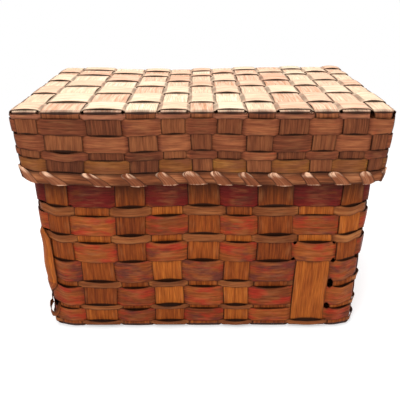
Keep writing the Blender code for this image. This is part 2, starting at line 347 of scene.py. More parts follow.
# %% The strip
# One cross-section of a strip: where its middle goes, its tilt, how high it lies over the weave, its
# shade, how much it faces the sun, and by what share it is narrowed.
Section = namedtuple("Section", "point tilt lift tone sun pinch", defaults=(0, 0))
ACROSS = 6
EDGE_ROUND, SHARP_ANGLE = 0.00022, radians(60)
# The waves of a cut edge: radians per metre, and how many times the strip's own phase each is shifted.
EDGE_WAVES = ((71, 1), (43, 3), (97, 5))
dice = random.Random(11)


def bent_strip(name, sections, width, thickness, crown=0.0002, wobble=0.0003, across=ACROSS):
    """A strip of wood cut flat and bent along its sections. Its outer face looks to the path's right."""
    places = [0]
    for here, there in zip(sections, sections[1:]):
        places.append(places[-1] + (there.point - here.point).length)
    columns = len(sections) - 1
    bpy.ops.mesh.primitive_grid_add(x_subdivisions=columns, y_subdivisions=across, size=1)
    strip = bpy.context.object
    strip.name = name
    mesh = strip.data
    seed = dice.random()
    phase = seed * 2 * pi
    lift, edge, tone, sun = attributes_on(mesh, "lift", "edge", "tone", "sun")
    for vertex in mesh.vertices:
        column = round((vertex.co.x + 0.5) * columns)
        section, x = sections[column], places[column]
        share = vertex.co.y * 2
        lift[vertex.index].value = section.lift
        tone[vertex.index].value = section.tone
        sun[vertex.index].value = section.sun
        edge[vertex.index].value = (1 - abs(share)) * width / 2
        first, second, third = (sin(x * turns + often * phase) for turns, often in EDGE_WAVES)
        sway = first + second + share * third
        reach = share * width * (1 - section.pinch)
        vertex.co = (x, -crown * (1 - share * share), (reach + wobble * sway) / 2)
    lay_grain(mesh, seed, lambda flat: (flat.x, flat.z))
    shape_with(strip, "SOLIDIFY", thickness=thickness, offset=0)
    outer, = attributes_on(mesh, "outer")
    for vertex in mesh.vertices:
        outer[vertex.index].value = 1 if vertex.co.y + crown / 2 < 0 else 0
    shape_with(strip, "BEVEL", width=EDGE_ROUND, segments=1, limit_method="ANGLE", angle_limit=SHARP_ANGLE)
    bend_along(strip, [section.point for section in sections], [section.tilt for section in sections],
               smooth_angle=40)
    return strip


def stand_for(strip, box, node):
    """The strip settles with its box, takes the place of a node of the frame and moves with its body."""
    for vertex in strip.data.vertices:
        vertex.co = settled(box, vertex.co)
    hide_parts(f"{box.prefix}_{node}")
    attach(strip, "basket" if box is BODY else "lid")


# %% [markdown]
# ## The weavers
# Each weaver is one strip that goes once round. Its two ends lap behind an upright on the back wall,
# as a real one's are tucked in. Even rows pass over the uprights that odd rows pass behind. Two narrow
# ones on the body have snapped beside the eighth upright, where their neighbours have drawn in, and the
# lid's last one ends at the front right corner. Three hang loose, one of them round the left corner.

# %% Weave the walls
BREAK_AFTER = 8
# For a broken row, the upright before its start and the number of uprights that it no longer crosses.
BREAKS = {("body", 3): (BREAK_AFTER, 0), ("body", 5): (BREAK_AFTER, 0), ("lid", 5): (12, 1)}
# For a loose row, the uprights it sags across, counted from 0, and how far it stands off and drops.
LOOSE = {("lid", 1): (7, 7, 0.0006, 0.0010), ("lid", 2): (1, 1, 0.0007, 0.0022),
         ("body", 3): (-1, 0, 0.0075, 0.0125)}
# For a row that has drawn in between two uprights, the first of them, counted from 0, and by what share.
DRAWN_IN = {("body", 2): ((7, 0.12),), ("body", 4): ((7, 0.16),), ("body", 6): ((7, 0.20), (8, 0.16)),
            ("body", 7): ((6, 0.34), (7, 0.26)), ("body", 11): ((0, 0.12),)}
LAP = WEAVER_THICKNESS + CONTACT_GAP
# A row is cut this much wider than the frame's, and fills the gaps beside the uprights by GAP_SPREAD.
ROW_SPREAD, GAP_SPREAD, WEAVER_WOBBLE = 0.0008, 0.0007, 0.0001
SPREAD_SLOPE, SPREAD_START = 2.5, 0.9
FIRST_COVERED_ROW, OPEN_ROOM, COVERED_ROOM = 11, 0.0054, 0.0019
# A float this long bulges and rolls by its full share of the room, and a strip underneath by less.
FULL_FLOAT, UNDER_SHARE = 0.03, 0.4
BULGE_SHARES, ROLL_SHARES = (0.12, 0.5), (-0.05, 0.25)


def room_at(box, index, middle):
    """How far a float of a row may stand off: less under the lid, and on the lid up to the top's edge."""
    if box is LID:
        return WALL_TRIM["lid"] + max(0, half_sizes(box, box.level)[0] - half_sizes(box, middle)[0])
    return OPEN_ROOM if index + 1 < FIRST_COVERED_ROW else COVERED_ROOM


def is_over_odd(box, index):
    """Whether a row passes over the uprights that have an odd number."""
    return (index % 2 == 1) == (box is BODY)


def row_crossings(box, index, spans, around):
    """A row's crossings, from the upright that hides its start round to the one that hides its end."""
    low, high = box.rows[index]
    over_odd = is_over_odd(box, index)
    count = len(spans)
    broken = BREAKS.get((box.prefix, index + 1))
    if broken:
        first, length = broken[0], count - broken[1]
    else:
        first, length = count // 2 + len(box.fronts) // 2 + (0 if over_odd else 1), count + 1
        if (first % 2 == 0) == over_odd:
            first += 1
    room = room_at(box, index, (low + high) / 2)
    crossings = []
    for step in range(length):
        turn, place = divmod(first + step, count)
        start, end = spans[place]
        tucked = broken and box is BODY and step == length - 1
        outside = (place % 2 == 0) == over_odd and not tucked
        side = 1 if outside else -1
        share = min(1, (end - start) / FULL_FLOAT) if outside else UNDER_SHARE
        roll = dice.uniform(*ROLL_SHARES) * room / (high - low) * 2 * share
        bulge = dice.uniform(*BULGE_SHARES) * room * share + abs(roll) * (high - low) / 2
        crossings.append(Crossing(start + turn * around, end + turn * around, side * OVER, side * bulge, side,
                                  dice.random(), roll))
    head, tail = crossings[0], crossings[-1]
    finish = tail.high if broken and box is LID else (tail.low + tail.high) / 2
    crossings[0] = head._replace(low=(head.low + head.high) / 2, bulge=0)
    crossings[-1] = tail._replace(high=finish, bulge=0)
    return crossings


def weave_row(box, index):
    """One weaver, bent over and behind the uprights of all four walls."""
    low, high = box.rows[index]
    middle = (low + high) / 2
    row = (box.prefix, index + 1)
    spans, around = walk_round(box, middle)
    crossings = row_crossings(box, index, spans, around)
    left, right, stand, drop = LOOSE.get(row, (0, 0, 0, 0))
    slack = spans[left] if left == right else (spans[left][1] - around, spans[right][0])
    sections = []
    for distance, offset, lift, tone, roll in wave(crossings, crossings[0].low, crossings[-1].high):
        base, out = wall_place(box, middle, distance)
        place = (distance - slack[0]) % around / (slack[1] - slack[0])
        loose = sin(pi * place) if place < 1 else 0
        offset += stand * loose
        if row not in BREAKS and distance > crossings[-1].low - GAP_STEP:
            offset -= LAP
        point = base + out * offset
        point.z -= drop * loose * loose
        pinch = CORNER_PINCH * corner_share(box, base.x, base.y, middle)
        for before, depth in DRAWN_IN.get(row, ()):
            start, end = spans[before][1], spans[before + 1][0]
            pinch += depth * sin(pi * max(0, min(1, (distance % around - start) / (end - start))))
        if lift <= 0:
            spread = ease(abs(offset) / OVER * SPREAD_SLOPE - SPREAD_START)
            pinch -= 2 * GAP_SPREAD / (high - low) * spread
        sections.append(Section(point, atan(box.lean) + roll, lift, tone, pinch=pinch))
    strip = bent_strip(f"{box.prefix}_weaver_strip_{row[1]:02d}", sections, high - low + ROW_SPREAD,
                       WEAVER_THICKNESS, wobble=WEAVER_WOBBLE)
    stand_for(strip, box, f"weaver_{row[1]:02d}")
    return strip


weavers = {box.prefix: [weave_row(box, index) for index in range(len(box.rows))] for box in (BODY, LID)}
print("weavers:", {name: len(strips) for name, strips in weavers.items()})

# %% [markdown]
# ## The uprights
# An upright is one strip from rim to rim: down a wall, across the base and up the far wall, or the
# other way about on the lid. It is bent lying on its side, where up is plain, and then stood up. The
# body's eighth one lies bare over five rows, as the broken ones no longer hold it, and its first side
# one has slipped round the front left corner.

# %% Bend the uprights
BEND = {"body": 0.0045, "lid": 0.0035}
WALL_BOW, WALL_BOW_SHARES = 0.0009, (0.2, 1)
SHEET_BOW, SHEET_BOW_SHARES = {"body": 0.0005, "lid": 0.0013}, (0.35, 1)
# The lift at the end of a float on a wall, and on the sheet, where it faces up or down. Below 0 it
# paints a shadow where the strip dives under another.
SEAM_SHADOW_LIFT, SHEET_SEAM_SHADOW_LIFT, SHEET_FACING = -0.68, -0.36, 0.7
SHEET_SPREAD = 0.0013
SLIPPED_ACROSS = 16
BARE_ROWS = range(2, 7)
# The shade, from 0 to 1, of the uprights that stand out as darker or lighter than the rest.
OWN_TONES = {("body", 1): 0.30, ("body", 3): 0.12, ("body", 5): 0.40, ("body", 7): 0.10, ("body", 8): 0.85}
OWN_TONE_SPREAD = 0.25


def strap_line(box, is_cross):
    """The middle line of an upright in its own plane: its bend, where that turns, and its lengths."""
    axis = 0 if is_cross else 1
    bend = BEND[box.prefix]
    turn = box.sheet + box.way * bend
    foot, top = half_sizes(box, turn)[axis], half_sizes(box, box.strap_end)[axis]
    wall, arc = hypot(top - foot, box.strap_end - turn), bend * pi / 2
    return bend, turn, foot, top, wall, arc, 2 * (wall + arc) + 2 * (foot - bend)


def strap_place(box, is_cross, distance):
    """The point (across, up) at a distance along an upright, and the direction out of the box."""
    bend, turn, foot, top, wall, arc, total = strap_line(box, is_cross)
    side = -1 if distance < total / 2 else 1
    rest = distance if side < 0 else total - distance
    if rest < wall:
        share = rest / wall
        across, up = top + (foot - top) * share, box.strap_end + (turn - box.strap_end) * share
        out = Vector((1, 0))
    elif rest < wall + arc:
        angle = (rest - wall) / bend
        across = foot - bend + bend * cos(angle)
        up = turn - box.way * bend * sin(angle)
        out = Vector((cos(angle), -box.way * sin(angle)))
    else:
        across, up = foot - bend - (rest - wall - arc), box.sheet
        out = Vector((0, -box.way))
    return Vector((side * across, up)), Vector((side * out.x, out.y))


def crossings_of(box, is_cross, number):
    """Where an upright meets weavers on its two walls and the other uprights on the sheet."""
    fronts, crosses = len(box.fronts), len(box.crosses)
    near = 2 * (fronts + crosses) + 1 - number if is_cross else number
    far = fronts + number if is_cross else 2 * fronts + crosses + 1 - number
    _, turn, _, _, wall, _, total = strap_line(box, is_cross)
    per_height = wall / abs(box.strap_end - turn)
    crossings = []
    for index, row in enumerate(box.rows):
        start, end = (abs(height - box.strap_end) * per_height for height in row[::-box.way])
        for upright, span in ((near, (start, end)), (far, (total - end, total - start))):
            side = -1 if (upright % 2 == 1) == is_over_odd(box, index) else 1
            bow = side * dice.uniform(*WALL_BOW_SHARES) * WALL_BOW
            if box is BODY and upright == BREAK_AFTER and index + 1 in BARE_ROWS:
                side, bow = 1, WALL_BOW
                bare_end = end if index + 1 == BARE_ROWS[0] else bare_end
                if index + 1 < BARE_ROWS[-1]:
                    continue
                span = (start, bare_end)
            shade = dice.random()
            if (box.prefix, upright) in OWN_TONES:
                shade = OWN_TONES[box.prefix, upright] + (shade - 0.5) * OWN_TONE_SPREAD
            crossings.append(Crossing(*span, 0, bow, side, shade, 0))
    for index, (low, high) in enumerate(box.fronts if is_cross else box.crosses):
        side = 1 if ((index + 1 + number) % 2 == 0) == is_cross else -1
        bow = side * dice.uniform(*SHEET_BOW_SHARES) * SHEET_BOW[box.prefix]
        level = side * SHEET_OVER if is_cross else 0
        crossings.append(Crossing(low + total / 2, high + total / 2, level, bow, side, dice.random(), 0))
    return sorted(crossings), total


# How far the slipped upright has gone round, its rise over the weavers, and the length of that rise.
SLIP, SLIP_LIFT, SLIP_LEAD, SLIP_STAND_OFF = 0.0145, 0.0035, 0.006, 0.004
SLIP_LOW, SLIP_HIGH, SLIP_FADE = 0.040, 0.150, 0.025
SLIP_SHINE = 0.4


def slip_round_corner(strip, start, end):
    """Draw a side upright's outer edge round the front left corner, over the weavers, part of the way up."""
    lift = strip.data.attributes["lift"].data
    for vertex in strip.data.vertices:
        x, y, z = vertex.co
        if x > 0 or z < SLIP_LOW or z > SLIP_HIGH:
            continue
        half_width, half_depth = half_sizes(BODY, z)
        radius = half_width - BODY.last_edge
        amount = ease((z - SLIP_LOW) / SLIP_FADE) * ease((SLIP_HIGH - z) / SLIP_FADE)
        beyond = -(y - SLIP * amount * (end - y) / (end - start)) - (half_depth - radius)
        off = -x - half_width + SLIP_LIFT * amount * ease((beyond + SLIP_LEAD) / SLIP_STAND_OFF)
        if beyond > 0:
            shine = min(SLIP_SHINE, beyond / SLIP_STAND_OFF - 0.5)
            lift[vertex.index].value = max(lift[vertex.index].value, shine)
        base, out = wall_place(BODY, z, beyond - radius * pi / 2)
        vertex.co = base + out * off


def bend_upright(box, kind, index):
    """One upright of either kind."""
    is_cross = kind == "cross"
    number = index + 1
    start, end = (box.crosses if is_cross else box.fronts)[index]
    crossings, total = crossings_of(box, is_cross, number)
    sections = []
    for distance, offset, lift, tone, _ in wave(crossings, 0, total, *(0, SEAM_SHADOW_LIFT)[::box.way]):
        place, out = strap_place(box, is_cross, distance)
        # On the sheet, the painted shadow at the end of a float is lighter.
        if abs(out.y) > SHEET_FACING and lift > -1:
            lift = max(lift, SHEET_SEAM_SHADOW_LIFT)
        spread = 2 * SHEET_SPREAD * abs(out.y) / (end - start)
        sections.append(Section((place + out * offset).to_3d(), 0, lift, tone, max(0, out.y), -spread))
    slipped = box is BODY and is_cross and index == 0
    strip = bent_strip(f"{box.prefix}_{kind}_strip_{number:02d}", sections[::box.way], end - start,
                       UPRIGHT_THICKNESS, across=SLIPPED_ACROSS if slipped else ACROSS)
    middle = (start + end) / 2
    strip.rotation_euler = (pi / 2, 0, 0 if is_cross else pi / 2)
    strip.location = (0, middle, 0) if is_cross else (middle, 0, 0)
    select_only(strip)
    bpy.ops.object.transform_apply(location=True, rotation=True, scale=True)
    if slipped:
        slip_round_corner(strip, start, end)
    stand_for(strip, box, f"{kind}_splint_{number:02d}")
    return strip


uprights = {box.prefix: [bend_upright(box, kind, index)
                         for kind, spans in (("front", box.fronts), ("cross", box.crosses))
                         for index in range(len(spans))] for box in (BODY, LID)}
print("uprights:", {name: len(strips) for name, strips in uprights.items()})

# %% [markdown]
# ## The hoops of a rim
# The uprights end between two hoops, one on each face of the wall. A hoop is a strip too, thicker than
# the woven ones, so it is bent by the same helper. Its ends butt together on the back wall.

# %% Bend the hoops
HOOP_THICKNESS = 0.0015
HOOP_OFFSET = UPRIGHT_THICKNESS / 2 + CONTACT_GAP + HOOP_THICKNESS / 2
HOOP_STEP, HOOP_BUTT, HOOP_CROWN = 0.0025, 0.0004, 0.0003
TONE_WAVES = (0.31, 0.087)


def bend_hoop(box, which, side):
    """One hoop, against the outer or the inner face of the wall."""
    low, high = box.hoop
    middle = (low + high) / 2
    spans, around = walk_round(box, middle)
    begin = sum(spans[len(spans) // 2 + len(box.fronts) // 2]) / 2
    steps = round(around / HOOP_STEP)
    sections = []
    for step in range(steps + 1):
        base, out = wall_place(box, middle, begin + (around - HOOP_BUTT) * step / steps)
        tone = 0.5 + 0.5 * sin(step * TONE_WAVES[0] + side) * sin(step * TONE_WAVES[1] + 1)
        sections.append(Section(base + out * side * HOOP_OFFSET, atan(box.lean), 0, tone))
    hoop = bent_strip(f"{box.prefix}_rim_{which}_strip", sections, high - low + ROW_SPREAD, HOOP_THICKNESS,
                      crown=HOOP_CROWN)
    stand_for(hoop, box, f"rim_{which}_hoop")
    return hoop


hoops = [bend_hoop(box, which, side) for box in (BODY, LID) for which, side in (("outer", 1), ("inner", -1))]
print("hoops:", [hoop.name for hoop in hoops])

# %% [markdown]
# ## The lashing
# One long, thin strip binds the hoops. It comes out through the gap beside an upright, folds over the
# hoop as a knuckle, slants down the outer face, turns under the free edge and climbs the inside to the
# next gap. One turn is drawn here as a flat sheet of rows and columns, whose rows are slid along this
# loop; every turn is a copy of it, stretched to the room that its upright needs.

# %% One turn of the lashing
LASHING_THICKNESS = 0.0005
TURN_ROWS, TURN_COLUMNS = 42, 8
TURN_LENGTH, TURN_BREADTH = 0.046, 0.013
# Share of the way to the next gap, distance out of the wall, distance past the hoops' woven edge,
# width, and how far the strip is crowned. Lengths are in millimetres; DROP is the hoops' height.
DROP = (BODY.hoop[1] - BODY.hoop[0]) / MILLIMETRE
Station = namedtuple("Station", "along out drop width crown")
TURN = [Station(*marks) for marks in (
    (0.00, -1.0, -0.7, 3.4, 0.0),
    (0.00, 1.0, -0.8, 3.6, 0.0),
    (-0.02, 2.6, -1.2, 9.0, 0.6),
    (0.00, 3.0, 0.5, 14.0, 1.3),
    (0.06, 2.9, 3.0, 16.0, 1.2),
    (0.17, 2.8, DROP * 0.5, 17.0, 1.0),
    (0.29, 2.8, DROP * 0.88, 18.0, 0.7),
    (0.33, 2.2, DROP + 1.0, 18.5, 0.8),
    (0.37, 0.0, DROP + 1.3, 17.0, 0.1),
    (0.39, -1.9, DROP + 0.4, 15.0, 0.1),
    (0.43, -2.65, DROP * 0.88, 14.0, 0.1),
    (0.63, -2.65, DROP * 0.5, 12.0, 0.1),
    (0.84, -2.7, 3.0, 9.0, 0.2),
    (0.95, -2.7, 0.9, 6.0, 0.4),
    (0.99, -2.5, -0.7, 4.2, 0.3),
    (1.00, -1.0, -0.7, 3.4, 0.0),
)]


def between(before, here, there, after, share):
    """A point of a smooth curve between two of its marks, from the marks on either side."""
    return [(2 * b + (c - a) * share + (2 * a - 5 * b + 4 * c - d) * share ** 2
             + (3 * b - a - 3 * c + d) * share ** 3) / 2 for a, b, c, d in zip(before, here, there, after)]


def turn_at(share):
    """The station at a share of the way round one turn."""
    last = len(TURN) - 1
    place = min(share * last, last - 0.001)
    index = int(place)
    marks = [TURN[max(0, min(last, index + step))] for step in (-1, 0, 1, 2)]
    return Station(*between(*marks, place - index))


def out_of_loop(share):
    """The direction straight out of the loop, as (out, drop)."""
    ahead, behind = turn_at(min(1, share + 0.01)), turn_at(max(0, share - 0.01))
    along = Vector((ahead.out - behind.out, ahead.drop - behind.drop))
    return Vector((along.y, -along.x)).normalized()


bpy.ops.mesh.primitive_grid_add(x_subdivisions=TURN_COLUMNS, y_subdivisions=TURN_ROWS, size=2)
turn_master = bpy.context.object
turn_master.name = "lashing_turn"
print(f"one turn: {len(turn_master.data.polygons)} faces, {TURN_LENGTH / MILLIMETRE:.0f} mm of strip")


# %% Lash the rims
LASHING_LEAD = 0.02
WIDEST_TURN = 0.027
NECK_WIDTH = 4
# Millimetres that a turn may stand off the wall's middle line, outside and inside.
OUTER_REACH, INNER_REACH = 3.2, 2.9
# Where a turn counts as its outer face, how far the painted highlight on its knuckle reaches down it, and
# the place and strength of the painted highlight along its fold.
OUTER_FACE, KNUCKLE_HIGHLIGHT_SHARE, FOLD_DROP, FOLD_HIGHLIGHT_LIFT = 1.5, 0.42, 0.3, 0.7
INSIDE_LIFT = -0.2
RIPPLE, TWIST = 0.12, 0.35
# The ranges of a turn's breadth, its shift in millimetres, its slant and its crown.
BREADTHS, SHIFTS, SLANTS, CROWNS = (0.92, 1.15), (-0.5, 0.5), (-0.06, 0.06), (0.5, 1.2)


def shape_turn(box, start, run):
    """A copy of the turn, from one gap to the next, standing on a straight rim."""
    turn = turn_master.copy()
    mesh = turn.data = turn_master.data.copy()
    bpy.context.scene.collection.objects.link(turn)
    low, high = box.hoop
    woven = (high if box is LID else low) - (low + high) / 2
    broad = min(1.0, run / WIDEST_TURN) * dice.uniform(*BREADTHS)
    shift, skew, swell = (dice.uniform(*limits) for limits in (SHIFTS, SLANTS, CROWNS))
    tone, seed, phase = dice.random(), dice.random(), dice.uniform(0, 6)
    lift, edge, tones = attributes_on(mesh, "lift", "edge", "tone")
    lay_grain(mesh, seed, lambda flat: (flat.y * TURN_LENGTH / 2, flat.x * TURN_BREADTH / 2 * broad))
    for vertex in mesh.vertices:
        across, share = vertex.co.x, (vertex.co.y + 1) / 2
        spot, away = turn_at(share), out_of_loop(share)
        free = sin(pi * share)
        width = spot.width * (broad if spot.width > NECK_WIDTH else 1)
        rise = spot.crown * swell * (1 - across * across)
        rise += RIPPLE * sin(across * 4 + phase + share * 5) * free
        out = max(-INNER_REACH, min(OUTER_REACH, spot.out + away.x * rise))
        drop = spot.drop + away.y * rise + across * TWIST * free * sin(phase)
        along = start + (spot.along + skew * free) * run + (across * width / 2 + shift) * MILLIMETRE
        vertex.co = (along, -out * MILLIMETRE, woven + box.way * drop * MILLIMETRE)
        knuckle = max(0, 1 - max(0, spot.drop) / (KNUCKLE_HIGHLIGHT_SHARE * DROP))
        fold = FOLD_HIGHLIGHT_LIFT if spot.drop > DROP + FOLD_DROP else 0
        # The knuckle and the fold are given a high lift, which paints a highlight on them; the inner face is
        # darkened a little.
        lift[vertex.index].value = 0.5 + 0.5 * max(knuckle, fold) if spot.out > OUTER_FACE else INSIDE_LIFT
        # The edge is counted at half its distance, which widens the dirt and painted shade along a turn's
        # edges.
        edge[vertex.index].value = (1 - abs(across)) * width / 4 * MILLIMETRE
        tones[vertex.index].value = tone
    return turn


def lash_rim(box):
    """All the turns of one lashing, joined and bent round the rim."""
    middle = sum(box.hoop) / 2
    spans, around = walk_round(box, middle)
    counts = (len(box.fronts), len(box.crosses)) * 2
    gap = (box.fronts[1][0] - box.fronts[0][1]) / 2
    holes = [start - gap for start, end in spans]
    holes += [spans[sum(counts[:side + 1]) - 1][1] + gap for side in range(4)]
    holes.sort()
    turns = [shape_turn(box, start + LASHING_LEAD, following - start)
             for start, following in zip(holes, holes[1:] + [holes[0] + around])]
    select_only(turns[0])
    for turn in turns:
        turn.select_set(True)
    bpy.ops.object.join()
    lashing = bpy.context.object
    lashing.name = f"{box.prefix}_rim_lashing_strip"
    shape_with(lashing, "SOLIDIFY", thickness=LASHING_THICKNESS, offset=0)
    for outer in attributes_on(lashing.data, "outer")[0]:
        outer.value = 1
    length = around + 2 * LASHING_LEAD
    steps = round(length / HOOP_STEP)
    points = [wall_place(box, middle, length * step / steps - LASHING_LEAD)[0] for step in range(steps + 1)]
    bend_along(lashing, points, [atan(box.lean)] * len(points), smooth_angle=50)
    stand_for(lashing, box, "rim_lashing")
    print(f"{lashing.name}: {len(turns)} turns, {len(lashing.data.polygons)} faces")
    return lashing


lashings = [lash_rim(box) for box in (BODY, LID)]
bpy.data.objects.remove(turn_master)

# %% [markdown]
# ## Wiring helpers
# A material is a small circuit. `add_node` adds one node and plugs its inputs in: a value is set on the
# socket, and a socket of another node is linked to it, which also tells the new node its tree. Effects
# that several finishes share are built once as node groups, and each finish gives them its own values.

# %% Helpers for node trees
def add_node(kind, inputs, tree=None, **settings):
    """The outputs of a new node, with its settings made and its inputs set or linked."""
    sockets = [value for value in inputs.values() if isinstance(value, bpy.types.NodeSocket)]
    tree = tree or sockets[0].id_data
    node = tree.nodes.new("ShaderNode" + kind)
    for name, value in settings.items():
        setattr(node, name, value)
    for name, value in inputs.items():
        if isinstance(value, bpy.types.NodeSocket):
            tree.links.new(value, node.inputs[name])
        else:
            node.inputs[name].default_value = value
    return node.outputs


def maths(operation, *values):
    """The result of one sum on values or sockets."""
    return add_node("Math", dict(enumerate(values)), operation=operation)[0]


def times(first, second):
    """The product of two values or sockets."""
    return maths("MULTIPLY", first, second)


def soft_step(value, low, high, bottom=0.0, top=1.0):
    """A smooth step of a value from one level to another."""
    inputs = {"Value": value, "From Min": low, "From Max": high, "To Min": bottom, "To Max": top}
    return add_node("MapRange", inputs, interpolation_type="SMOOTHSTEP")["Result"]


def tint(share, under, over, blend="MIX"):
    """One colour laid over another."""
    return add_node("Mix", {0: share, 6: under, 7: over}, data_type="RGBA", blend_type=blend,
                    clamp_factor=True)[2]


def darkened(colour, value):
    """A colour multiplied by a value."""
    grey = add_node("CombineColor", dict.fromkeys(("Red", "Green", "Blue"), value))["Color"]
    return tint(1.0, colour, grey, blend="MULTIPLY")


def noise(place, scale, size=1.0, detail=3.0, roughness=0.55):
    """Noise stretched by a scale on each axis of a place."""
    stretched = add_node("Mapping", {"Vector": place, "Scale": scale})["Vector"]
    inputs = {"Vector": stretched, "Scale": size, "Detail": detail, "Roughness": roughness}
    return add_node("TexNoise", inputs)["Fac"]


def new_group(name, vectors, values):
    """An empty node group with sockets for vectors and values, and the sockets that it is given."""
    group = bpy.data.node_groups.new(name, "ShaderNodeTree")
    for sockets, kind in ((vectors, "NodeSocketVector"), (values, "NodeSocketFloat")):
        for socket in sockets:
            group.interface.new_socket(socket, in_out="INPUT", socket_type=kind)
    return group, group.nodes.new("NodeGroupInput").outputs


def finish_group(group, **results):
    """Give a node group its outputs."""
    output = group.nodes.new("NodeGroupOutput")
    for name, socket in results.items():
        group.interface.new_socket(name, in_out="OUTPUT", socket_type="NodeSocketFloat")
        group.links.new(socket, output.inputs[name])
    print(f"{group.name}: {len(group.nodes)} nodes")


# %% [markdown]
# ## The grain of a splint
# A splint is peeled along the tree's rings, so its face shows long streaks with finer pores inside
# them. Both are noise, stretched about twenty times along the strip. The grain's coordinates are in
# metres, so the streaks are 3 to 6 mm wide and the pores under a millimetre on every piece.

# %% Grain group
STREAKS, PORES = (16, 260, 1), (45, 1150, 1)
STREAK_RELIEF = 0.35
grain_group, given = new_group("splint grain", ["Grain"], [])
streak = soft_step(noise(given["Grain"], STREAKS, detail=4, roughness=0.6), 0.3, 0.7)
pore = soft_step(noise(given["Grain"], PORES, detail=2), 0.25, 0.75)
height = maths("ADD", times(pore, 1 - STREAK_RELIEF), times(streak, STREAK_RELIEF))
finish_group(grain_group, Streak=streak, Pore=pore, Height=height)

# %% [markdown]
# ## Swabbed colour
# The outer faces of the wide weavers were swabbed with colour by hand and have faded since. The colour
# lies in patches a few centimetres long, breaks up along the grain, and has not reached the inside.

# %% Swab group
PATCHES, PATCH_EDGE, STREAK_BREAKS = (34, 85, 1), (0.94, 1.22), 0.11
swab_group, given = new_group("swabbed colour", ["Grain"], ["Streak", "Outer", "Amount"])
patch = noise(given["Grain"], PATCHES, detail=3, roughness=0.6)
patch = maths("ADD", patch, times(given["Streak"], STREAK_BREAKS))
patch = maths("ADD", patch, given["Amount"])
finish_group(swab_group, Mask=times(soft_step(patch, *PATCH_EDGE), given["Outer"]))

# %% [markdown]
# ## Dirt, rubbing and painted light
# Dirt and painted shade darken the wood where strips cross, in the gaps and along the edges, and hands rub
# the raised middles clean and light, with a painted highlight there too, in smears along the grain. Each
# strip carries its height over the weave and the distance from its own edge.

# %% Dirt, painted shade, rubbing and painted highlight group
CLOUD_SIZE, SMEARS, SMEAR_EDGE = 90, (42, 230, 1), (0.4, 0.68)
# Lifts under 0 darken with dirt and painted shade; lifts near 1 lighten with rubbing and a painted highlight.
DIRT_AND_SHADE_LIFTS, RUB_AND_HIGHLIGHT_LIFTS = (-0.75, -0.1), (0.5, 1)
RAGGED_EDGE, SOFT_EDGE, EDGE_DIRT_AND_SHADE = 0.0014, 0.0006, 0.7
dirt_and_light_group, given = new_group("grime rubbing and painted light", ["Place", "Grain"], ["Lift", "Edge"])
cloud = noise(given["Place"], (1, 1, 1), size=CLOUD_SIZE, detail=4)
# Dirt and painted shade darken a band along each edge and where a strip passes under another.
ragged = maths("SUBTRACT", given["Edge"], times(cloud, RAGGED_EDGE))
edge_dirt_and_shade = soft_step(ragged, -SOFT_EDGE, SOFT_EDGE, EDGE_DIRT_AND_SHADE, 0)
crossing_dirt_and_shade = soft_step(given["Lift"], *DIRT_AND_SHADE_LIFTS, 1, 0)
# Raised middles lighten from rubbing and a painted highlight, in smears along the grain.
smear = soft_step(noise(given["Grain"], SMEARS, detail=3), *SMEAR_EDGE)
finish_group(dirt_and_light_group, Dirt=maths("MAXIMUM", edge_dirt_and_shade, crossing_dirt_and_shade),
             Rub=times(soft_step(given["Lift"], *RUB_AND_HIGHLIGHT_LIFTS), smear))

# %% [markdown]
# ## A wood finish
# Every finish is the same circuit with colours and amounts of its own: shades of its wood by tone and
# streak, the top that the sun has bleached, swabbed colour, inner faces darkened as painted shade, the
# body's top darkened as the painted shadow of the lid, rubbed middles with a painted highlight, and dirt
# with painted shade.

# %% Build a finish
# One dark colour serves dirt and painted shade, and one light colour rubbing and painted highlight.
DIRT_AND_SHADE_COLOUR = (0.016, 0.005, 0.002, 1)
RUB_AND_HIGHLIGHT_COLOUR = (0.74, 0.33, 0.12, 1)
BUMP_STRENGTH, BUMP_DEPTH = 0.6, 0.0003
WOOD_SHINE, ROUGHNESS = 0.12, (0.66, 0.5)
# Heights over which the body's top darkens, as the painted shadow of the lid.
LID_SHADOW_HEIGHTS = (0.165, 0.200)
# The second value is the share of its colour that an inner face keeps, as painted shade.
TONE_SHARE, INNER_PAINTED_SHADE, PORE_SHADES = 0.55, 0.78, (0.70, 1.17)
SUN_START = 0.45
SWAB_STRENGTH, SWAB_SHIFT = 0.86, Vector((3.7, 1.3, 0))
# How far in from an edge the painted shadow at a float's ends deepens, and its share on the sheet.
CREASE_SHADOW_REACH, SHEET_CREASE_SHADOW = 0.016, 0.2


def group_node(group, **inputs):
    """The outputs of a shared effect that is placed in a finish."""
    return add_node("Group", inputs, node_tree=group)


def shades(share, colours):
    """A colour from evenly spaced shades."""
    outputs = add_node("ValToRGB", {"Fac": share})
    stops = outputs[0].node.color_ramp.elements
    for _ in range(len(colours) - 2):
        stops.new(0.5)
    for index, colour in enumerate(colours):
        stops[index].position = index / (len(colours) - 1)
        stops[index].color = (*colour, 1)
    return outputs["Color"]


